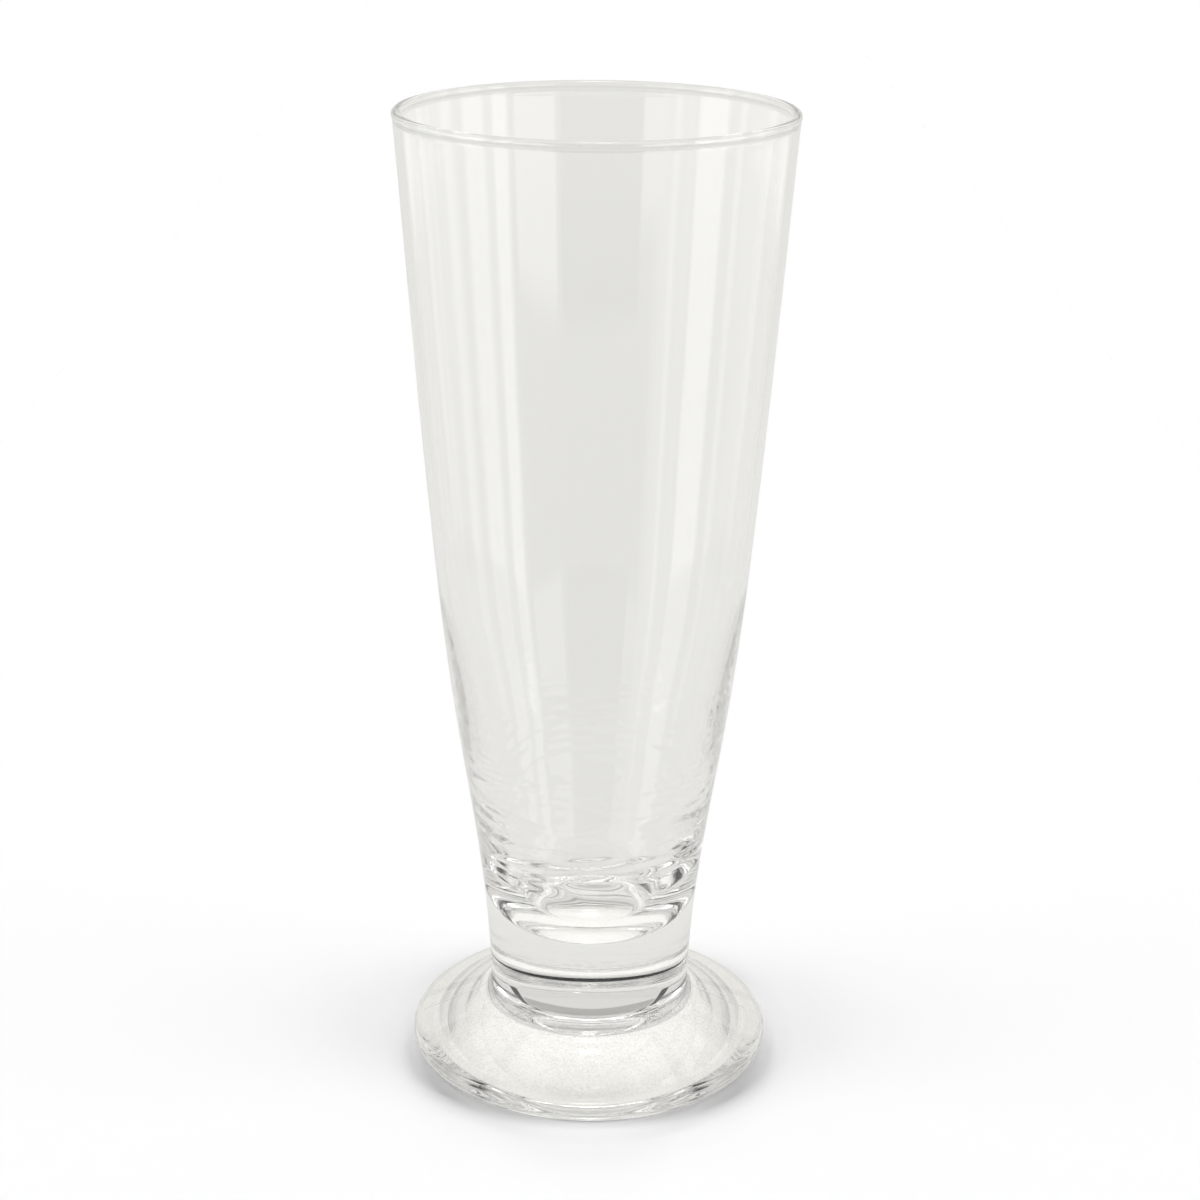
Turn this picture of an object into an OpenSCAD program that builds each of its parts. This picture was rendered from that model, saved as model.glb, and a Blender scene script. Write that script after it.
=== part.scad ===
// Footed beer glass, hot-joined from three gathers of clear glass.
// Z is up. The origin is on the axis, in the plane that the foot rests on.

/* [Overall] */
// Height from the table to the top of the lip
glass_h = 204.5; // [190:0.5:220]
// Outside diameter over the lip
rim_d = 80; // [74:0.5:86]
// Thickness of the rounded, fire-polished lip
lip_t = 1.8; // [1.7:0.1:2.4]

/* [Bowl outside] */
// Height of the waist, the lowest part of the bowl's flare
waist_h = 28; // [26.5:0.5:30]
// Diameter at the waist
waist_d = 44.6; // [42:0.2:47]
// Widening of each side per unit of height at the waist
waist_taper = 0.075; // [0:0.005:0.12]
// Height of the hip, where the flare is steepest
hip_h = 65; // [61:1:69]
// Diameter at the hip
hip_d = 54; // [51:0.5:57]
// Widening of each side per unit of height at the hip
hip_taper = 0.16; // [0.12:0.005:0.2]
// Height of the shoulder, where the flare has eased
shoulder_h = 107.5; // [98:1:116]
// Diameter at the shoulder
shoulder_d = 64.7; // [62:0.5:68]
// Widening of each side per unit of height at the shoulder
shoulder_taper = 0.093; // [0.07:0.005:0.12]
// Widening of each side per unit of height below the lip
rim_taper = 0.072; // [0.04:0.002:0.1]

/* [Bowl wall] */
// Wall just under the lip
rim_wall = 1.5; // [1.2:0.1:1.7]
// Wall at the shoulder
shoulder_wall = 1.6; // [1.3:0.1:2.4]
// Wall at the hip
hip_wall = 3.6; // [3:0.1:4.6]
// Wall at the heel, where the glass begins to gather into the base
heel_wall = 5; // [4.6:0.1:6]
// Height of the heel
heel_h = 47; // [44:0.5:50]
// Wall where it turns into the rounded bottom
turn_wall = 7.4; // [7:0.1:8.2]
// Height of that turn
turn_h = 35.5; // [34.5:0.1:37]
// Widening of the cavity's side per unit of height at the turn
turn_taper = 0.6; // [0.45:0.05:0.75]
// Height of the cavity's floor
floor_h = 30.3; // [29.5:0.1:31]
// Diameter of the flat middle of the floor
floor_d = 21; // [16:0.5:22]

/* [Stem] */
// Height of the joint between the stem and the bowl
upper_joint_h = 26; // [24:0.5:27]
// Height of the joint between the foot and the stem
lower_joint_h = 16; // [15:0.5:18]
// Diameter at the lower joint
stem_d = 43.3; // [41:0.2:45]
// Widening of each side per unit of height at the lower joint
stem_taper = 0.03; // [0:0.005:0.06]

/* [Foot] */
// Diameter of the foot
foot_d = 77.8; // [72:0.5:84]
// Radius of the foot's rounded edge
edge_r = 2.4; // [2:0.1:2.8]
// Slope of the foot's top in degrees
foot_slope = 25; // [21:0.5:27]
// Diameter where the fillet round the stem meets the foot's top
fillet_d = 49; // [47:0.5:52]
// Width of the flat ring that the foot rests on
ring_w = 3; // [2:0.1:3.6]
// Width of the rounded turn from that ring up into the hollow
ring_turn = 2; // [1.2:0.1:2.8]
// Height of the hollow under the foot
kick_h = 12; // [8:0.5:12.5]
// Fullness of that hollow: 1 is a cone, more is a flatter dome
kick_power = 3.25; // [2.2:0.05:4]

/* [Hidden] */
$fn = 96;

// Straight segments in the long and the short curved stretches of an outline
wall_steps = 36;
turn_steps = 8;
stem_steps = 4;
kick_steps = 18;

// Lip: a ring of round section that the wall runs into at mid height
lip_r = lip_t/2;
lip_x = rim_d/2 - lip_r;
lip_h = glass_h - lip_r;

// Stations up the outside, each [height, radius, taper]
outside = [
    [lower_joint_h, stem_d/2, stem_taper],
    [waist_h, waist_d/2, waist_taper],
    [hip_h, hip_d/2, hip_taper],
    [shoulder_h, shoulder_d/2, shoulder_taper],
    [lip_h, lip_x + rim_wall/2, rim_taper]
];

// Radius at height z on the cubic that keeps the radius and taper of both stations
function span_radius(a, b, z) =
    let (h = b[0] - a[0], t = (z - a[0])/h, u = 1 - t)
    u*u*(1 + 2*t)*a[1] + t*t*(1 + 2*u)*b[1] + h*t*u*(u*a[2] - t*b[2]);

// Index of the span that holds height z
function span_at(stations, z, i = 0) =
    i >= len(stations) - 2 || z <= stations[i + 1][0] ? i : span_at(stations, z, i + 1);

function curve_radius(stations, z) =
    let (i = span_at(stations, z)) span_radius(stations[i], stations[i + 1], z);

// Points [radius, height] along a curve of stations
function curve_points(stations, z0, z1, steps) =
    [for (i = [0 : steps]) let (z = z0 + (z1 - z0)*i/steps) [curve_radius(stations, z), z]];

// Points of a smooth turn from a to b that leaves and arrives along the lines through corner c
function turn_points(a, c, b, steps) =
    [for (i = [0 : steps]) let (t = i/steps, u = 1 - t) u*u*a + 2*u*t*c + t*t*b];

function reversed(points) = [for (i = [len(points) - 1 : -1 : 0]) points[i]];

// Cavity stations follow the outside, less the wall at each height
function inner_radius(z, wall) = curve_radius(outside, z) - wall;
turn_x = inner_radius(turn_h, turn_wall);
heel_x = inner_radius(heel_h, heel_wall);
hip_x = inner_radius(hip_h, hip_wall);
shoulder_x = inner_radius(shoulder_h, shoulder_wall);
cavity = [
    [turn_h, turn_x, turn_taper],
    [heel_h, heel_x, (hip_x - turn_x)/(hip_h - turn_h)],
    [hip_h, hip_x, (shoulder_x - heel_x)/(shoulder_h - heel_h)],
    [shoulder_h, shoulder_x, shoulder_taper],
    [lip_h, lip_x - rim_wall/2, rim_taper]
];
floor_corner_x = turn_x - turn_taper*(turn_h - floor_h);

// Foot: a cone that ends on the round edge, and a fillet up to the stem
edge_x = foot_d/2 - edge_r;
cone_foot = [edge_x + edge_r*sin(foot_slope), edge_r + edge_r*cos(foot_slope)];
cone_top = [fillet_d/2, cone_foot[1] + (cone_foot[0] - fillet_d/2)*tan(foot_slope)];
fillet_corner = [stem_d/2, cone_top[1] + (cone_top[0] - stem_d/2)*tan(foot_slope)];

// Hollow: a dome that heads for the table at kick_x, and a turn that eases it onto the ring
dome_share = 0.65;
ring_x = edge_x - ring_w;
kick_x = ring_x - ring_turn*dome_share;
kick_end_x = ring_x - ring_turn;
function kick_point(x) = [x, kick_h*(1 - pow(x/kick_x, kick_power))];
kick_end = kick_point(kick_end_x);
kick_fall = kick_h*kick_power*pow(kick_end_x/kick_x, kick_power)/kick_end_x;
kick_corner = [kick_end_x + kick_end[1]/kick_fall, 0];

// Bowl: thick base, rounded cavity and a wall that thins up to the lip
module bowl() {
    color([0.93, 0.94, 0.93, 0.4])
    rotate_extrude() {
        polygon(concat(
            [[0, upper_joint_h]],
            curve_points(outside, upper_joint_h, lip_h, wall_steps),
            reversed(curve_points(cavity, turn_h, lip_h, wall_steps)),
            turn_points([turn_x, turn_h], [floor_corner_x, floor_h], [floor_d/2, floor_h], turn_steps),
            [[0, floor_h]]
        ));
        translate([lip_x, lip_h]) circle(r = lip_r);
    }
}

// Stem: a short solid button between the two joints
module stem() {
    color([0.90, 0.92, 0.91, 0.4])
    rotate_extrude()
    polygon(concat(
        [[0, lower_joint_h]],
        curve_points(outside, lower_joint_h, upper_joint_h, stem_steps),
        [[0, upper_joint_h]]
    ));
}

// Foot: a pressed disc with a rounded edge, hollow underneath
module foot() {
    color([0.91, 0.93, 0.92, 0.4])
    rotate_extrude() {
        polygon(concat(
            [for (i = [0 : kick_steps - 1]) kick_point(kick_end_x*i/kick_steps)],
            turn_points(kick_end, kick_corner, [ring_x, 0], turn_steps),
            [[edge_x, 0], cone_foot],
            turn_points(cone_top, fillet_corner, [stem_d/2, lower_joint_h], turn_steps),
            [[0, lower_joint_h]]
        ));
        translate([edge_x, edge_r]) circle(r = edge_r);
    }
}

bowl();
stem();
foot();
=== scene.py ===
import math

import bmesh
import bpy
from mathutils import Matrix, Vector, noise


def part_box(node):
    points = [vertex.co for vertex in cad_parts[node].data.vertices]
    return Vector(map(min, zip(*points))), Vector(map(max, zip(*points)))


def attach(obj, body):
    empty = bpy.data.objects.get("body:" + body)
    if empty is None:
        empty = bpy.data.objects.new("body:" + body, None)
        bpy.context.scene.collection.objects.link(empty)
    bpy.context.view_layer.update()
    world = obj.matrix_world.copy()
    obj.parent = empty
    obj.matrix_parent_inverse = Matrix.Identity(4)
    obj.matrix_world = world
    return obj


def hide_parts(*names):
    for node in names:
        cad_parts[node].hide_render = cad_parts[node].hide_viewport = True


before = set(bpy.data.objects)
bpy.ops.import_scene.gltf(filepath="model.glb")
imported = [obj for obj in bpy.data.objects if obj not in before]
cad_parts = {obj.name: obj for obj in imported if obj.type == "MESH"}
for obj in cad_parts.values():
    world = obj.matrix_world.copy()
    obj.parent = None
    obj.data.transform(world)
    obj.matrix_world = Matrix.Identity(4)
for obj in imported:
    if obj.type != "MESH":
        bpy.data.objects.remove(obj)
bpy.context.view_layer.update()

mm = 0.001
onAxis = 1e-9       # a ring with a smaller radius is a point on the axis
angleDigits = 7     # angles that agree to so many digits are one
jointShares = (0.25, 0.5, 0.75)   # rings across a flat joint, as shares of its radius
scene = bpy.context.scene


# Where the glass stands in the frame: joints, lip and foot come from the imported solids
bowlHigh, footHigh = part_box("bowl")[1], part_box("foot")[1]
stemLow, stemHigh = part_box("stem")
upperJoint, lowerJoint = stemHigh.z, stemLow.z
rimRadius, glassHeight, footRadius = bowlHigh.x, bowlHigh.z, footHigh.x
print("frame loaded: glass", round(glassHeight / mm, 1), "mm tall, rim", round(2 * rimRadius / mm, 1), "mm")


def spanRadius(low, high, z):   # cubic between two stations, each (height, radius, taper)
    h = high[0] - low[0]
    t = (z - low[0]) / h
    u = 1 - t
    radius = u * u * (1 + 2 * t) * low[1] + t * t * (1 + 2 * u) * high[1]
    return radius + h * t * u * (u * low[2] - t * high[2])


def curveRadius(stations, z):
    for low, high in zip(stations, stations[1:]):
        if z <= high[0]:
            return spanRadius(low, high, z)
    return spanRadius(stations[-2], stations[-1], z)


def heights(low, high, step):   # evenly spaced heights from low to high, about one step apart
    count = max(1, round((high - low) / step))
    return [low + (high - low) * i / count for i in range(count + 1)]


def turn(start, corner, end, count):   # leaves and arrives along the lines through the corner
    points = []
    for i in range(count + 1):
        t = i / count
        u = 1 - t
        points.append(tuple(u * u * a + 2 * u * t * c + t * t * b for a, c, b in zip(start, corner, end)))
    return points


def arc(centre, radius, fromDegrees, toDegrees, count):
    points = []
    for i in range(count + 1):
        angle = math.radians(fromDegrees + (toDegrees - fromDegrees) * i / count)
        points.append((centre[0] + radius * math.cos(angle), centre[1] + radius * math.sin(angle)))
    return points


def latheMesh(name, rings, angles, ripple):
    # rings: (radius, height, skin) from the axis round to the axis; the skin joint is a flat weld face.
    # ripple: skin to a function of radius, height and angle that gives the moved radius and height.
    bm = bmesh.new()
    loops = []
    for radius, height, skin in rings:
        if radius < onAxis:
            loops.append([bm.verts.new((0, 0, height))])
            continue
        move = ripple.get(skin)
        loop = []
        for angle in angles:
            r, z = move(radius, height, angle) if move else (radius, height)
            loop.append(bm.verts.new((r * math.cos(angle), r * math.sin(angle), z)))
        loops.append(loop)
    count = len(angles)
    for (a, b), skin in zip(zip(loops, loops[1:]), [ring[2] for ring in rings[1:]]):
        for i in range(count):
            j = (i + 1) % count
            if len(a) == 1:
                corners = (a[0], b[j], b[i])
            elif len(b) == 1:
                corners = (a[i], a[j], b[0])
            else:
                corners = (a[i], a[j], b[j], b[i])
            face = bm.faces.new(corners)
            face.smooth = skin != "joint"
            face.material_index = 1 if skin == "joint" else 0
    bmesh.ops.recalc_face_normals(bm, faces=bm.faces)
    for edge in bm.edges:   # the polished side doesn't shade into the flat joint
        edge.smooth = len({face.material_index for face in edge.link_faces}) < 2
    mesh = bpy.data.meshes.new(name)
    bm.to_mesh(mesh)
    bm.free()
    piece = bpy.data.objects.new(name, mesh)
    scene.collection.objects.link(piece)
    return piece


def evenAngles(count, fineAt=(), fineStep=0.0, fineHalf=0.0):   # full turn, finer round some angles
    angles = {round(2 * math.pi * i / count, angleDigits) for i in range(count)}
    for centre in fineAt:
        steps = int(fineHalf / fineStep)
        for i in range(-steps, steps + 1):
            angles.add(round((centre + i * fineStep) % (2 * math.pi), angleDigits))
    return sorted(angles)


# Outside of the bowl and stem: waist, hip and shoulder are stations, each (height, radius, taper)
outsideShape = {
    "stemRadius": 21.65 * mm, "stemTaper": 0.03,
    "waist": (28 * mm, 22.3 * mm, 0.075),
    "hip": (65 * mm, 27.0 * mm, 0.16),
    "shoulder": (107.5 * mm, 32.35 * mm, 0.093),
    "rimTaper": 0.072, "rimWall": 1.5 * mm, "lipRadius": 0.9 * mm,
}
lipCentre = (rimRadius - outsideShape["lipRadius"], glassHeight - outsideShape["lipRadius"])
outside = [
    (lowerJoint, outsideShape["stemRadius"], outsideShape["stemTaper"]),
    outsideShape["waist"], outsideShape["hip"], outsideShape["shoulder"],
    (lipCentre[1], lipCentre[0] + outsideShape["rimWall"] / 2, outsideShape["rimTaper"]),
]


# Bowl
bowlShape = {
    "segments": 320, "outerStep": 1.9 * mm, "lipSteps": 22,
    "innerStep": 1.9 * mm, "innerFineStep": 0.5 * mm, "fineTop": 75 * mm,
    "floorHeight": 30.3 * mm, "floorRadius": 10.5 * mm, "floorShares": (0.8, 0.6, 0.4, 0.2, 0),
    "turn": (35.5 * mm, 7.4 * mm, 0.6), "turnSteps": 20,   # height, wall, taper
    "heel": (47 * mm, 5.0 * mm, 0.268),
    "hip": (65 * mm, 3.6 * mm, 0.186),
    "shoulder": (107.5 * mm, 1.6 * mm, 0.093),
    "chillDepth": 0.11 * mm, "chillPitch": 3.8 * mm, "chillFiner": 0.08, "chillLength": 12 * mm,
    "chillLow": 41 * mm, "chillRise": 7 * mm, "chillHigh": 80 * mm, "chillFall": 14 * mm,
    "chillWander": (0.31, 1.5), "chillSharp": 2.4,   # how finely and how far the wrinkles stray up and down
    "waveDepth": 0.05 * mm, "waveMean": 0.6, "waveLength": 26 * mm, "waveTall": 3,
    "waveLip": (2 * mm, 12 * mm), "waveJoint": 12 * mm,   # fades under the lip and over the joint
}


def cavityStations(shape):
    stations = []
    for key in ("turn", "heel", "hip", "shoulder"):
        z, wall, taper = shape[key]
        stations.append((z, curveRadius(outside, z) - wall, taper))
    stations.append((lipCentre[1], lipCentre[0] - outsideShape["rimWall"] / 2, outsideShape["rimTaper"]))
    return stations


def fade(value, low, high):   # 0 at low, 1 at high, smooth between, either way round
    t = min(1.0, max(0.0, (value - low) / (high - low)))
    return t * t * (3 - 2 * t)


def chillRipple(radius, height, angle):   # short wrinkles left in the thick lower wall as it chilled
    shape = bowlShape
    low, high = shape["chillLow"], shape["chillHigh"]
    mask = fade(height, low, low + shape["chillRise"]) * fade(height, high, high - shape["chillFall"])
    if mask <= 0:
        return radius, height
    finer = shape["chillFiner"]   # the pitch shrinks with height, so the phase is its integral
    shrunk = 1 - finer * (height - low) / shape["chillPitch"]
    along = shape["chillLength"]
    x, y = radius * math.cos(angle) / along, radius * math.sin(angle) / along
    at = Vector((x, y, -math.log(shrunk) / finer))
    wanderScale, wanderReach = shape["chillWander"]
    wander = noise.noise(at * wanderScale) * wanderReach
    crease = 1 - shape["chillSharp"] * abs(noise.noise(at + Vector((0, 0, wander))))
    return radius + shape["chillDepth"] * mask * shrunk * crease, height


def slowWave(radius, height, angle):   # the slight unevenness of worked glass
    shape = bowlShape
    size = shape["waveLength"]
    x, y = radius * math.cos(angle) / size, radius * math.sin(angle) / size
    at = Vector((x, y, height / size / shape["waveTall"]))
    none, full = shape["waveLip"]
    mask = fade(height, glassHeight - none, glassHeight - full)
    mask *= fade(height, upperJoint, upperJoint + shape["waveJoint"])
    return radius - shape["waveDepth"] * mask * (shape["waveMean"] + noise.noise(at)), height


def bowlRings(shape):
    side = heights(upperJoint, lipCentre[1], shape["outerStep"])
    side = [(curveRadius(outside, z), z, "outside") for z in side]
    rings = [(side[0][0] * share, upperJoint, "joint") for share in (0, *jointShares, 1)]
    lipRadius, halfWall = outsideShape["lipRadius"], outsideShape["rimWall"] / 2
    wallMeets = math.degrees(math.acos(halfWall / lipRadius))   # where the wall runs into the round lip
    lipBottom = lipCentre[1] - math.sin(math.radians(wallMeets)) * lipRadius
    rings += [ring for ring in side[1:] if ring[1] < lipBottom - shape["outerStep"] / 4]
    lip = arc(lipCentre, lipRadius, -wallMeets, 180 + wallMeets, shape["lipSteps"])
    rings += [(x, z, "lip") for x, z in lip]
    stations = cavityStations(shape)
    turnHeight, turnRadius, turnTaper = stations[0]
    inner = heights(turnHeight, shape["fineTop"], shape["innerFineStep"])
    inner += heights(shape["fineTop"], lipBottom - shape["innerStep"] / 2, shape["innerStep"])[1:]
    rings += [(curveRadius(stations, z), z, "inside") for z in reversed(inner)]
    corner = (turnRadius - turnTaper * (turnHeight - shape["floorHeight"]), shape["floorHeight"])
    floorEdge = (shape["floorRadius"], shape["floorHeight"])
    bottom = turn((turnRadius, turnHeight), corner, floorEdge, shape["turnSteps"])
    rings += [(x, z, "inside") for x, z in bottom[1:]]
    rings += [(floorEdge[0] * share, floorEdge[1], "inside") for share in shape["floorShares"]]
    return rings


# Stem
stemShape = {
    "segments": 320, "step": 0.8 * mm,
    # Trapped bubbles: direction in degrees, distance in from the side, height, half sizes along, out and up
    "seeds": [
        (263.0, 1.6 * mm, 21.4 * mm, (1.15 * mm, 0.35 * mm, 0.42 * mm)),
        (269.5, 1.1 * mm, 23.0 * mm, (0.34 * mm, 0.2 * mm, 0.22 * mm)),
    ],
    "seedSides": 28, "seedBands": 18,
}


def addSeed(piece, direction, inset, height, half):   # a closed bubble whose faces look into the gas
    angle = math.radians(direction)
    radius = curveRadius(outside, height) - inset
    sides, bands = stemShape["seedSides"], stemShape["seedBands"]
    bm = bmesh.new()
    bm.from_mesh(piece.data)
    made = bmesh.ops.create_uvsphere(bm, u_segments=sides, v_segments=bands, radius=1)
    place = Matrix.Translation((radius * math.cos(angle), radius * math.sin(angle), height))
    place @= Matrix.Rotation(angle + math.pi / 2, 4, "Z") @ Matrix.Diagonal((*half, 1))
    bmesh.ops.transform(bm, matrix=place, verts=made["verts"])
    faces = {face for vert in made["verts"] for face in vert.link_faces}
    for face in faces:
        face.smooth = True
        face.material_index = 0
    bmesh.ops.reverse_faces(bm, faces=list(faces))
    bm.to_mesh(piece.data)
    bm.free()


def stemRings(shape):
    side = [(curveRadius(outside, z), z, "outside") for z in heights(lowerJoint, upperJoint, shape["step"])]
    rings = [(side[0][0] * share, lowerJoint, "joint") for share in (0, *jointShares, 1)]
    rings += side[1:]
    rings += [(side[-1][0] * share, upperJoint, "joint") for share in (*reversed(jointShares), 0)]
    return rings


# Foot
footShape = {
    "segments": 320, "edgeRadius": 2.4 * mm, "edgeSteps": 26, "slope": 25.0,
    "filletRadius": 24.5 * mm, "filletSteps": 26, "topStep": 0.8 * mm,
    "ringWidth": 3.0 * mm, "ringTurn": 2.0 * mm, "ringSteps": 14, "domeShare": 0.65,
    "kickHeight": 12 * mm, "kickPower": 3.25, "kickStep": 0.8 * mm,
    # Mould seam across the foot's top, the radii where it rises, its finer steps and their reach in degrees
    "seamHeight": 0.07 * mm, "seamHalf": 0.22 * mm,
    "seamStart": (22.5 * mm, 24 * mm), "seamFine": (0.15, 1.5),
    # Slight unevenness of pressed glass, and its fades in from the edge and under the joint
    "pressDepth": 0.03 * mm, "pressMean": 0.6, "pressLength": 9 * mm, "pressFade": (0.4 * mm, 4 * mm),
    "edgeFade": (0.2 * mm, 2 * mm), "jointFade": 2 * mm,
}


def footSurface(radius, height, angle):
    shape = footShape
    size = shape["pressLength"]
    x, y = radius * math.cos(angle), radius * math.sin(angle)
    uneven = noise.noise(Vector((x / size, y / size, height / size)))
    lift = -shape["pressDepth"] * (shape["pressMean"] + uneven)
    none, full = shape["pressFade"]
    lift *= fade(radius, footRadius - none, footRadius - full)
    seam = math.exp(-(y / shape["seamHalf"]) ** 2)
    lift += shape["seamHeight"] * seam * fade(radius, *shape["seamStart"])
    none, full = shape["edgeFade"]
    free = fade(radius, footRadius - none, footRadius - full)
    lift *= free * fade(height, lowerJoint, lowerJoint - shape["jointFade"])
    return radius, height + lift


def hollowOutline(shape, ringRadius):   # a dome that heads for the table, and a turn onto the ring
    height, power = shape["kickHeight"], shape["kickPower"]
    meets = ringRadius - shape["ringTurn"] * shape["domeShare"]
    ends = ringRadius - shape["ringTurn"]
    points = [(x, height * (1 - (x / meets) ** power)) for x in heights(0, ends, shape["kickStep"])]
    fall = height * power * (ends / meets) ** power / ends
    corner = (ends + points[-1][1] / fall, 0)
    return points + turn(points[-1], corner, (ringRadius, 0), shape["ringSteps"])[1:]


def footRings(shape):
    edge = shape["edgeRadius"]
    edgeCentre = (footRadius - edge, edge)
    slope = math.radians(shape["slope"])
    coneFoot = (edgeCentre[0] + edge * math.sin(slope), edge + edge * math.cos(slope))
    coneTop = (shape["filletRadius"], coneFoot[1] + (coneFoot[0] - shape["filletRadius"]) * math.tan(slope))
    stemRadius = outsideShape["stemRadius"]
    corner = (stemRadius, coneTop[1] + (coneTop[0] - stemRadius) * math.tan(slope))
    rings = [(x, z, "under") for x, z in hollowOutline(shape, edgeCentre[0] - shape["ringWidth"])]
    roundEdge = arc(edgeCentre, edge, -90, 90 - shape["slope"], shape["edgeSteps"])
    rings += [(x, z, "edge") for x, z in roundEdge]
    cone = heights(0, 1, shape["topStep"] / (coneFoot[0] - coneTop[0]))
    rings += [tuple(a + (b - a) * t for a, b in zip(coneFoot, coneTop)) + ("top",) for t in cone[1:-1]]
    fillet = turn(coneTop, corner, (stemRadius, lowerJoint), shape["filletSteps"])
    rings += [(x, z, "top") for x, z in fillet]
    rings += [(stemRadius * share, lowerJoint, "joint") for share in (*reversed(jointShares), 0)]
    return rings


# Shader groups that the three glasses share
def newGroup(name, inputs, outputs):
    group = bpy.data.node_groups.new(name, "ShaderNodeTree")
    for socketName, socketType, value in inputs:
        socket = group.interface.new_socket(socketName, in_out="INPUT", socket_type=socketType)
        if value is not None:
            socket.default_value = value
    for socketName, socketType in outputs:
        group.interface.new_socket(socketName, in_out="OUTPUT", socket_type=socketType)
    return group, group.nodes.new("NodeGroupInput"), group.nodes.new("NodeGroupOutput")


def feed(tree, socket, value):   # value: a number, or a socket to link
    if isinstance(value, bpy.types.NodeSocket):
        tree.links.new(value, socket)
    elif value is not None:
        socket.default_value = value


def mathNode(tree, operation, first, second=None, clamp=False):
    node = tree.nodes.new("ShaderNodeMath")
    node.operation = operation
    node.use_clamp = clamp
    feed(tree, node.inputs[0], first)
    feed(tree, node.inputs[1], second)
    return node.outputs[0]


def noiseNode(tree, vector, scale, detail):
    node = tree.nodes.new("ShaderNodeTexNoise")
    node.inputs["Scale"].default_value = scale
    node.inputs["Detail"].default_value = detail
    node.inputs["Roughness"].default_value = 0.5
    tree.links.new(vector, node.inputs["Vector"])
    return node.outputs["Fac"]


def rampNode(tree, value, low, high):   # 0 below low, 1 above high
    node = tree.nodes.new("ShaderNodeMapRange")
    node.interpolation_type = "SMOOTHSTEP"
    tree.links.new(value, node.inputs["Value"])
    node.inputs["From Min"].default_value = low
    node.inputs["From Max"].default_value = high
    return node.outputs["Result"]


def spotsNode(tree, place, scale, detail, low, high):   # noise, cut to 0 below low and to 1 above high
    return rampNode(tree, noiseNode(tree, place, scale, detail), low, high)


grain = {   # noise: its scale and detail, then the ends of the cut
    "cloud": (60.0, 3.0, 0.45, 0.75),
    "dust": (2600.0, 1.0, 0.74, 0.78),
    "mould": (2100.0, 1.0, 0.4, 0.7),
    "cords": (130.0, 2.0),
    "cordStretch": (1.0, 1.0, 0.12),   # cords run on upwards
    "polished": (3.5 * mm, 6 * mm),    # the edge's fire polish ends between these heights
}


def filmGroup():   # faint haze left by washing, and fine specks of dust
    inputs = [(name, "NodeSocketFloat", 0.0) for name in ("Base", "Haze", "Specks")]
    group, source, sink = newGroup("washFilm", inputs, [("Roughness", "NodeSocketFloat")])
    place = group.nodes.new("ShaderNodeTexCoord").outputs["Object"]
    haze = mathNode(group, "MULTIPLY", spotsNode(group, place, *grain["cloud"]), source.outputs["Haze"])
    specks = mathNode(group, "MULTIPLY", spotsNode(group, place, *grain["dust"]), source.outputs["Specks"])
    total = mathNode(group, "ADD", mathNode(group, "ADD", haze, specks), source.outputs["Base"], clamp=True)
    group.links.new(total, sink.inputs["Roughness"])
    return group


def cordsGroup():   # long cords drawn out in the glass as it was worked
    inputs = [("Cords", "NodeSocketFloat", 1.0)]
    group, source, sink = newGroup("drawnCords", inputs, [("Height", "NodeSocketFloat")])
    stretch = group.nodes.new("ShaderNodeMapping")
    stretch.inputs["Scale"].default_value = grain["cordStretch"]
    group.links.new(group.nodes.new("ShaderNodeTexCoord").outputs["Object"], stretch.inputs["Vector"])
    cords = noiseNode(group, stretch.outputs["Vector"], *grain["cords"])
    group.links.new(mathNode(group, "MULTIPLY", cords, source.outputs["Cords"]), sink.inputs["Height"])
    return group


def mottleGroup():   # fine mottle of glass that took its skin from a mould, gone where its edge was polished
    inputs = [("Tint", "NodeSocketColor", (1, 1, 1, 1)), ("Mottle", "NodeSocketFloat", 0.0)]
    group, source, sink = newGroup("mouldMottle", inputs, [("Color", "NodeSocketColor")])
    place = group.nodes.new("ShaderNodeTexCoord").outputs["Object"]
    parts = group.nodes.new("ShaderNodeSeparateXYZ")
    group.links.new(place, parts.inputs["Vector"])
    skin = rampNode(group, parts.outputs["Z"], *grain["polished"])
    spots = spotsNode(group, place, *grain["mould"])
    loss = mathNode(group, "MULTIPLY", mathNode(group, "MULTIPLY", spots, skin), source.outputs["Mottle"])
    dimmed = group.nodes.new("ShaderNodeVectorMath")
    dimmed.operation = "SCALE"
    group.links.new(source.outputs["Tint"], dimmed.inputs[0])
    group.links.new(mathNode(group, "SUBTRACT", 1.0, loss), dimmed.inputs["Scale"])
    group.links.new(dimmed.outputs["Vector"], sink.inputs["Color"])
    return group


washFilm = filmGroup()
drawnCords = cordsGroup()
mouldMottle = mottleGroup()


def groupNode(tree, group, values):
    node = tree.nodes.new("ShaderNodeGroup")
    node.node_tree = group
    for socketName, value in values.items():
        node.inputs[socketName].default_value = value
    return node


def mixShaders(tree, share, first, second):   # sockets: the share of the second shader, then both
    node = tree.nodes.new("ShaderNodeMixShader")
    for socket, value in zip(node.inputs, (share, first, second)):
        tree.links.new(value, socket)
    return node.outputs["Shader"]


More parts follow.
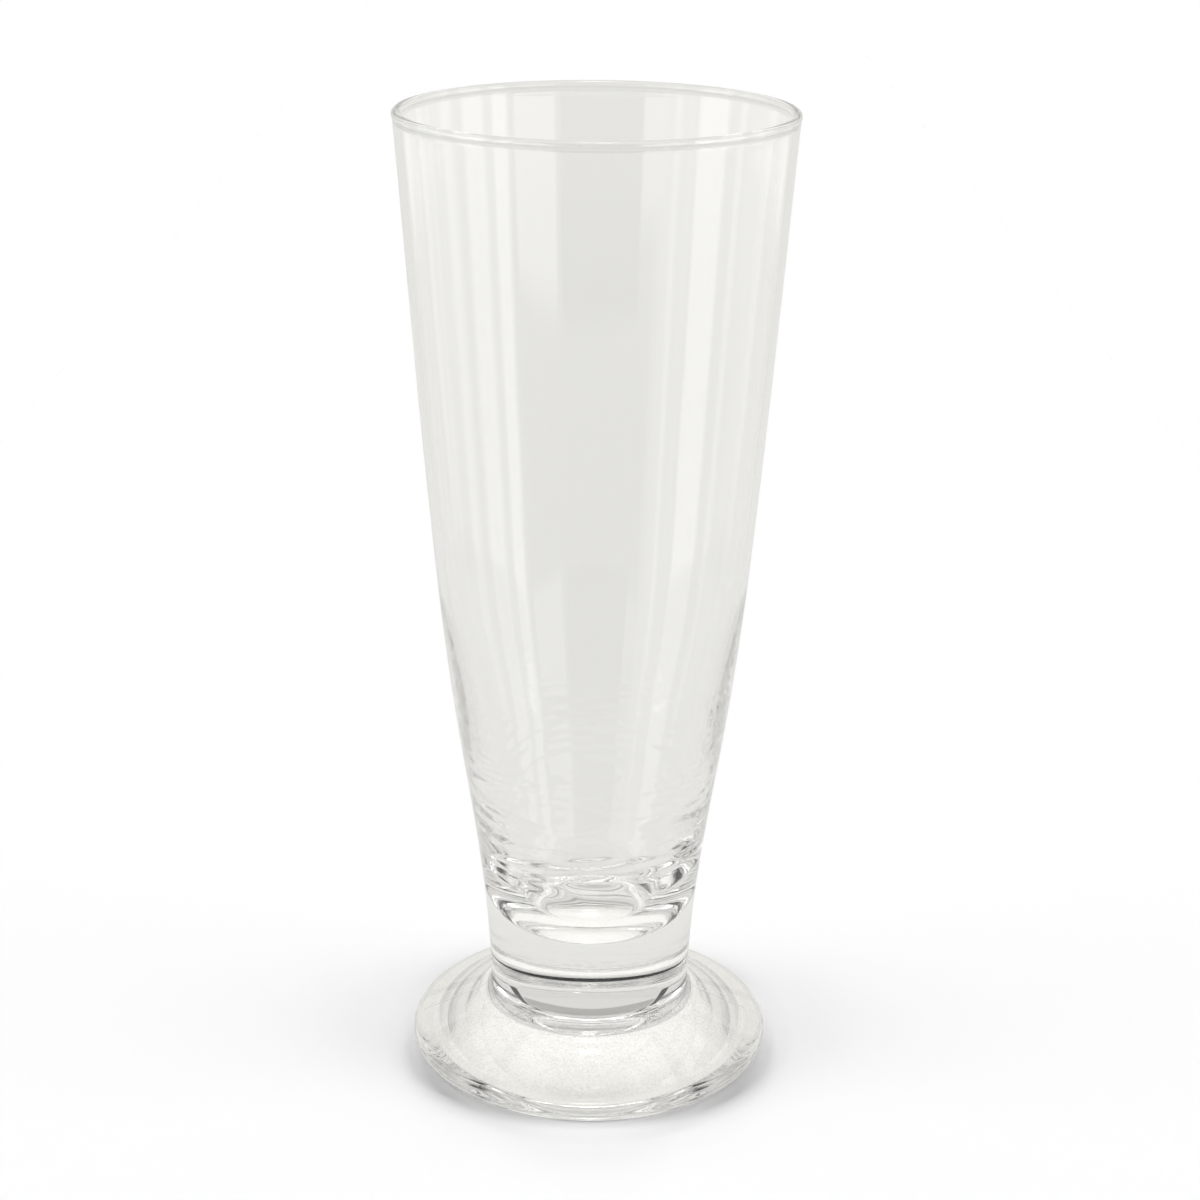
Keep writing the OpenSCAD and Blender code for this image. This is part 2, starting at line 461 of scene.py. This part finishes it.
def clearGlass(name, look):
    material = bpy.data.materials.new(name)
    material.use_nodes = True
    tree = material.node_tree
    shader = tree.nodes["Principled BSDF"]
    shader.inputs["IOR"].default_value = look["ior"]
    shader.inputs["Transmission Weight"].default_value = 1.0
    mottle = groupNode(tree, mouldMottle, {"Tint": (*look["tint"], 1), "Mottle": look["mottle"]})
    tree.links.new(mottle.outputs["Color"], shader.inputs["Base Color"])
    filmValues = {"Base": look["roughness"], "Haze": look["haze"], "Specks": look["specks"]}
    film = groupNode(tree, washFilm, filmValues)
    tree.links.new(film.outputs["Roughness"], shader.inputs["Roughness"])
    cords = groupNode(tree, drawnCords, {"Cords": look["cords"]})
    bump = tree.nodes.new("ShaderNodeBump")
    bump.inputs["Strength"].default_value = 1.0
    bump.inputs["Distance"].default_value = look["bump"]
    tree.links.new(cords.outputs["Height"], bump.inputs["Height"])
    tree.links.new(bump.outputs["Normal"], shader.inputs["Normal"])
    # Lamps reach the table through the glass, less what its rims turn away
    shadow = tree.nodes.new("ShaderNodeBsdfTransparent")
    facing = tree.nodes.new("ShaderNodeLayerWeight")
    shade = tree.nodes.new("ShaderNodeMix")
    shade.data_type = "RGBA"
    shade.inputs["A"].default_value = (*look["shadowFace"], 1)
    shade.inputs["B"].default_value = (*look["shadowRim"], 1)
    tree.links.new(rampNode(tree, facing.outputs["Facing"], *look["rimShade"]), shade.inputs["Factor"])
    tree.links.new(shade.outputs["Result"], shadow.inputs["Color"])
    ray = tree.nodes.new("ShaderNodeLightPath")
    # Light caught in the round lip goes round for very long: past so many turns the glass gives off a
    # painted glow of even tone in its place
    paintedDeepGlow = tree.nodes.new("ShaderNodeEmission")
    paintedDeepGlow.inputs["Color"].default_value = (*look["paintedDeepTone"], 1)
    late = mathNode(tree, "GREATER_THAN", ray.outputs["Ray Depth"], look["paintedDeepAfter"])
    glass = mixShaders(tree, late, shader.outputs["BSDF"], paintedDeepGlow.outputs["Emission"])
    glass = mixShaders(tree, ray.outputs["Is Shadow Ray"], glass, shadow.outputs["BSDF"])
    tree.links.new(glass, tree.nodes["Material Output"].inputs["Surface"])
    return material


def fusedJoint():   # inside the fused glass nothing shows, so a ray goes straight on
    material = bpy.data.materials.new("fusedJoint")
    material.use_nodes = True
    tree = material.node_tree
    tree.nodes.remove(tree.nodes["Principled BSDF"])
    clear = tree.nodes.new("ShaderNodeBsdfTransparent")
    tree.links.new(clear.outputs["BSDF"], tree.nodes["Material Output"].inputs["Surface"])
    return material


baseLook = {
    "tint": (0.996, 0.997, 0.996), "ior": 1.5, "roughness": 0.0, "haze": 0.015, "specks": 0.1,
    "cords": 1.0, "mottle": 0.0, "bump": 0.02 * mm,
    "rimShade": (0.43, 0.6), "shadowFace": (1.0, 1.0, 1.0), "shadowRim": (0.93, 0.93, 0.93),
    # ray depth past which the glass glows with a painted even tone, and that tone
    "paintedDeepAfter": 48.0, "paintedDeepTone": (0.48, 0.475, 0.455),
}
bowlLook = dict(baseLook)
stemLook = dict(baseLook, cords=0.6)
footLook = dict(baseLook, cords=0.3, mottle=0.16, haze=0.02, shadowRim=(0.0, 0.0, 0.0))


def finishPiece(piece, node, slotName, look):
    piece.data.materials.append(clearGlass(slotName, look))
    piece.data.materials.append(joint)
    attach(piece, "root")
    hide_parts(node)
    print(node, "made:", len(piece.data.polygons), "faces")


joint = fusedJoint()
bowl = latheMesh("glassBowl", bowlRings(bowlShape), evenAngles(bowlShape["segments"]),
                 {"inside": chillRipple, "outside": slowWave})
finishPiece(bowl, "bowl", "bowl_glass", bowlLook)
stem = latheMesh("glassStem", stemRings(stemShape), evenAngles(stemShape["segments"]), {})
for seed in stemShape["seeds"]:
    addSeed(stem, *seed)
finishPiece(stem, "stem", "stem_glass", stemLook)
seamStep, seamReach = (math.radians(degrees) for degrees in footShape["seamFine"])
footAngles = evenAngles(footShape["segments"], (0.0, math.pi), seamStep, seamReach)
foot = latheMesh("glassFoot", footRings(footShape), footAngles, {"top": footSurface})
finishPiece(foot, "foot", "foot_glass", footLook)


# Studio: a pale table inside a light tent. Azimuth 0 is where the camera stands and grows to the right.
studio = {
    "backdrop": (0.785, 0.778, 0.747),
    "tableLeft": 0.24, "tableFront": 0.24, "tableBack": 3.0,
    "tableGap": 0.03 * mm,               # the table's top lies this far under the ring
    "tableSeen": (0.94, 0.94, 0.947),    # to the camera, where full light is white
    "tableLit": (0.30, 0.30, 0.30),      # through the glass: the part that takes shadows
    "tableGlow": (0.476, 0.470, 0.443),  # and the part that doesn't
    "tableDiffuse": (0.8, 0.8, 0.79),    # to light that bounces on from the table
    "farTable": (0.35, 1.4, 0.11),       # the glow rises between these distances, by this share
    "paintedPool": (36 * mm, 38 * mm, 0.48),    # painted pool of light in place of what the hollow gathers: full and gone radii, gain
    "paintedContactShadow": (40.2 * mm, 41.4 * mm, 0.5 * mm, 0.0),   # painted contact shadow under the edge, seen through the glass: from, to, softness, what is left
    "ambient": 0.15,                     # the tent's light on the table, beside the lamps'
    "straight": (0.88, 1.0),             # the tent's limits where it is seen straight through the glass
    "lamps": [                           # in pairs: azimuth, elevation and spread in degrees, strength
        (168.0, 24.0, 16.0, 0.92),
        (115.0, 49.0, 20.0, 0.45),
        (81.0, 17.0, 35.0, 2.7),
    ],
    # Strip light: half width, front and back as slopes from straight up, brightness, softness, lowest slope
    "overhead": (0.10, -0.25, 0.19, 6.0, 0.03, 0.05),
    # Azimuth from and to, elevation from and to and soft edge in degrees, brightness over the backdrop's
    "patches": [
        (-205.0, -30.0, 62.0, 100.0, 12.0, 1.5),   # roof
        (-30.0, 155.0, 62.0, 100.0, 12.0, 1.5),
        (-140.0, -42.0, -14.0, 20.0, 4.0, 1.45),   # left wall, and its dimmer upper part
        (-140.0, -42.0, 20.0, 58.0, 4.0, 0.98),
        (-146.0, -120.0, -0.5, 20.0, 2.0, 1.0),
        (57.0, 140.0, -14.0, 20.0, 3.0, 1.45),     # right wall
        (57.0, 140.0, 20.0, 58.0, 3.0, 0.98),
        (120.0, 146.0, -0.5, 20.0, 2.0, 1.0),
        (140.0, 220.0, 14.0, 64.0, 3.0, 0.9),      # backdrop above the seam
        (-38.0, 54.0, -14.0, 20.0, 3.0, 0.6),      # front of the tent, with bright cards beside the camera
        (25.5, 52.0, -4.8, 10.0, 1.6, 2.0),
        (-45.0, -27.5, -3.2, 10.0, 1.6, 1.65),
        (-29.0, 22.0, -5.0, 14.0, 0.6, 0.05),      # camera and stand in its gap
        (-34.0, 40.0, 22.0, 48.0, 1.0, 0.04),      # dark room over the front
        (42.0, 140.0, 56.0, 61.0, 0.6, 0.1),       # gaps between the walls and the roof
        (-140.0, -42.0, 56.0, 61.0, 0.6, 0.1),
        (139.0, 145.0, 21.0, 61.0, 0.6, 0.1),      # posts at the back corners, above the table's height
        (-145.0, -139.0, 21.0, 61.0, 0.6, 0.1),
        (44.0, 56.0, 16.0, 61.0, 0.6, 0.1),        # and at the front corners
        (-44.0, -37.0, 16.0, 61.0, 0.6, 0.1),
        (-140.0, -44.0, 16.5, 20.0, 0.6, 0.25),    # rails halfway up the walls
        (56.0, 140.0, 16.5, 20.0, 0.6, 0.25),
        (-140.0, -44.0, 35.0, 41.0, 0.8, 0.3),     # and near their tops
        (56.0, 140.0, 35.0, 41.0, 0.8, 0.3),
        (-88.0, -66.0, -14.0, 16.0, 1.5, 3.0),     # softboxes and tubes behind the left wall
        (-53.0, -49.5, -14.0, 16.0, 1.0, 2.2),
        (-104.0, -98.0, -14.0, 16.0, 1.0, 2.2),
        (57.0, 67.0, -14.0, 16.0, 1.0, 3.0),       # and behind the right wall
        (74.0, 90.0, -14.0, 16.0, 1.5, 2.8),
        (99.0, 109.0, -14.0, 16.0, 1.5, 2.3),
        (152.0, 208.0, 7.0, 10.5, 0.8, 0.6),       # seam of the backdrop
        (146.0, 214.0, 33.5, 47.0, 1.0, 0.55),     # its upper edge, in shade
        (150.0, 210.0, 64.0, 79.0, 1.5, 0.4),      # gap between it and the roof
    ],
}


def bandMask(tree, value, low, high, soft):   # 1 from low to high, 0 outside, over soft edges
    middle, half = (low + high) / 2, (high - low) / 2
    away = mathNode(tree, "ABSOLUTE", mathNode(tree, "SUBTRACT", value, middle))
    return rampNode(tree, away, half + soft / 2, half - soft / 2)


def patchMask(tree, azimuth, elevation, patch):
    azimuthFrom, azimuthTo, low, high, soft = patch[:5]
    middle, halfTurn = (azimuthFrom + azimuthTo) / 2, 180.0
    turned = mathNode(tree, "WRAP", mathNode(tree, "SUBTRACT", azimuth, middle), halfTurn)
    turned.node.inputs[2].default_value = -halfTurn
    half = (azimuthTo - azimuthFrom) / 2
    sideways = bandMask(tree, turned, -half, half, soft)
    return mathNode(tree, "MULTIPLY", sideways, bandMask(tree, elevation, low, high, soft))


def mixValue(tree, mask, under, over):   # numbers or sockets: under, and over it where the mask is 1
    node = tree.nodes.new("ShaderNodeMix")
    tree.links.new(mask, node.inputs["Factor"])
    feed(tree, node.inputs["A"], under)
    feed(tree, node.inputs["B"], over)
    return node.outputs["Result"]


def lightTent():
    world = bpy.data.worlds.new("lightTent")
    scene.world = world
    world.use_nodes = True
    tree = world.node_tree
    background = tree.nodes["Background"]
    direction = tree.nodes.new("ShaderNodeTexCoord").outputs["Generated"]
    parts = tree.nodes.new("ShaderNodeSeparateXYZ")
    tree.links.new(direction, parts.inputs["Vector"])
    x, y, z = (parts.outputs[axis] for axis in "XYZ")
    azimuth = mathNode(tree, "DEGREES", mathNode(tree, "ARCTAN2", x, mathNode(tree, "MULTIPLY", y, -1.0)))
    elevation = mathNode(tree, "DEGREES", mathNode(tree, "ARCSINE", z))
    strength = 1.0
    for patch in studio["patches"]:
        strength = mixValue(tree, patchMask(tree, azimuth, elevation, patch), strength, patch[5])
    halfWidth, front, back, brightness, soft, lowest = studio["overhead"]
    up = mathNode(tree, "MAXIMUM", z, lowest)
    across = bandMask(tree, mathNode(tree, "DIVIDE", x, up), -halfWidth, halfWidth, soft)
    along = bandMask(tree, mathNode(tree, "DIVIDE", y, up), front, back, soft)
    strength = mixValue(tree, mathNode(tree, "MULTIPLY", across, along), strength, brightness)
    ray = tree.nodes.new("ShaderNodeLightPath")
    darkest, brightest = studio["straight"]
    even = mathNode(tree, "MAXIMUM", mathNode(tree, "MINIMUM", strength, brightest), darkest)
    straight = mathNode(tree, "LESS_THAN", ray.outputs["Glossy Depth"], 0.5)   # so no lamp glares through
    strength = mixValue(tree, straight, strength, even)
    seen = mathNode(tree, "MAXIMUM", ray.outputs["Is Glossy Ray"], ray.outputs["Is Transmission Ray"])
    seen = mathNode(tree, "MULTIPLY", seen, mathNode(tree, "LESS_THAN", ray.outputs["Diffuse Depth"], 0.5))
    share = mathNode(tree, "ADD", mathNode(tree, "MULTIPLY", seen, 1 - studio["ambient"]), studio["ambient"])
    tent = tree.nodes.new("ShaderNodeVectorMath")
    tent.operation = "SCALE"
    tent.inputs[0].default_value = studio["backdrop"]
    tree.links.new(mathNode(tree, "MULTIPLY", strength, share), tent.inputs["Scale"])
    pick = tree.nodes.new("ShaderNodeMix")
    pick.data_type = "RGBA"
    pick.inputs["B"].default_value = (1, 1, 1, 1)
    tree.links.new(ray.outputs["Is Camera Ray"], pick.inputs["Factor"])
    tree.links.new(tent.outputs["Vector"], pick.inputs["A"])
    tree.links.new(pick.outputs["Result"], background.inputs["Color"])


def makeLamps():   # soft lamps behind and beside, for the shadow; the glass shows the tent and not these
    for azimuth, elevation, spread, strength in studio["lamps"]:
        for side in (1, -1):
            data = bpy.data.lights.new("softLamp", "SUN")
            data.angle = math.radians(spread)
            data.energy = strength
            lamp = bpy.data.objects.new("softLamp", data)
            lamp.rotation_euler = (math.radians(90 - elevation), 0, math.radians(side * azimuth))
            lamp.visible_camera = lamp.visible_glossy = lamp.visible_transmission = False
            scene.collection.objects.link(lamp)


def tableMaterial():
    material = bpy.data.materials.new("paleTable")
    material.use_nodes = True
    tree = material.node_tree
    tree.nodes.remove(tree.nodes["Principled BSDF"])
    ray = tree.nodes.new("ShaderNodeLightPath")
    lookThrough = mathNode(tree, "MAXIMUM", ray.outputs["Is Glossy Ray"], ray.outputs["Is Transmission Ray"])
    shaders = []
    for key in ("tableDiffuse", "tableLit", "tableSeen"):
        matt = tree.nodes.new("ShaderNodeBsdfDiffuse")
        matt.inputs["Color"].default_value = (*studio[key], 1)
        shaders.append(matt.outputs["BSDF"])
    diffuse, lit, seen = shaders
    glow = tree.nodes.new("ShaderNodeEmission")
    glow.inputs["Color"].default_value = (*studio["tableGlow"], 1)
    centre = tree.nodes.new("ShaderNodeVectorMath")
    centre.operation = "LENGTH"
    tree.links.new(tree.nodes.new("ShaderNodeTexCoord").outputs["Object"], centre.inputs[0])
    away = centre.outputs["Value"]
    # Painted pool of light: the glow is raised under the foot
    full, gone, paintedPoolGain = studio["paintedPool"]
    paintedPool = mathNode(tree, "MULTIPLY", rampNode(tree, away, gone, full), paintedPoolGain)
    near, far, farGain = studio["farTable"]
    distant = mathNode(tree, "MULTIPLY", rampNode(tree, away, near, far), farGain)
    gain = mathNode(tree, "ADD", mathNode(tree, "ADD", paintedPool, distant), 1.0)
    tree.links.new(gain, glow.inputs["Strength"])
    gathered = tree.nodes.new("ShaderNodeAddShader")
    tree.links.new(lit, gathered.inputs[0])
    tree.links.new(glow.outputs["Emission"], gathered.inputs[1])
    # Painted shadow: a black ring on the table, under the foot's edge, where the glass sees it
    low, high, soft, left = studio["paintedContactShadow"]
    paintedShadowMix = tree.nodes.new("ShaderNodeMixShader")   # painted contact shadow: its second shader stays black
    ring = bandMask(tree, away, low, high, soft)
    tree.links.new(mathNode(tree, "MULTIPLY", ring, 1 - left), paintedShadowMix.inputs["Fac"])
    tree.links.new(gathered.outputs["Shader"], paintedShadowMix.inputs[1])
    surface = mixShaders(tree, lookThrough, diffuse, paintedShadowMix.outputs["Shader"])
    surface = mixShaders(tree, ray.outputs["Is Camera Ray"], surface, seen)
    tree.links.new(surface, tree.nodes["Material Output"].inputs["Surface"])
    return material


def makeTable():
    left, front, back = studio["tableLeft"], studio["tableFront"], studio["tableBack"]
    mesh = bpy.data.meshes.new("tableTop")
    corners = [(-left, -front, 0), (left, -front, 0), (left, back, 0), (-left, back, 0)]
    mesh.from_pydata(corners, [], [(0, 1, 2, 3)])
    mesh.materials.append(tableMaterial())
    made = bpy.data.objects.new("tableTop", mesh)
    made.location.z = -studio["tableGap"]
    scene.collection.objects.link(made)


lightTent()
makeLamps()
makeTable()
print("studio set")


# Camera: where the photograph was taken from, looking down at the glass
view = {
    "distance": 467.85 * mm, "height": 274.37 * mm, "down": 20.165, "roll": 0.497,
    "lens": 71.44, "sensor": 36.0, "shiftX": 0.0062, "clip": (0.01, 50),
}


def makeCamera(view):
    down, roll = math.radians(view["down"]), math.radians(view["roll"])
    forward = Vector((0, math.cos(down), -math.sin(down)))
    level, upward = Vector((1, 0, 0)), Vector((0, math.sin(down), math.cos(down)))
    right = level * math.cos(roll) + upward * math.sin(roll)
    top = upward * math.cos(roll) - level * math.sin(roll)
    data = bpy.data.cameras.new("camera")
    data.sensor_width, data.lens, data.shift_x = view["sensor"], view["lens"], view["shiftX"]
    data.clip_start, data.clip_end = view["clip"]
    camera = bpy.data.objects.new("camera", data)
    scene.collection.objects.link(camera)
    turned = Matrix((right, top, -forward)).transposed().to_4x4()
    camera.matrix_world = Matrix.Translation((0, -view["distance"], view["height"])) @ turned
    scene.camera = camera


makeCamera(view)
scene.view_settings.view_transform = "Standard"
bounces, transparentBounces = 96, 64   # the thick base and the lip turn light many times
scene.cycles.max_bounces = bounces
scene.cycles.transmission_bounces = bounces
scene.cycles.glossy_bounces = bounces
scene.cycles.transparent_max_bounces = transparentBounces
print("camera set")
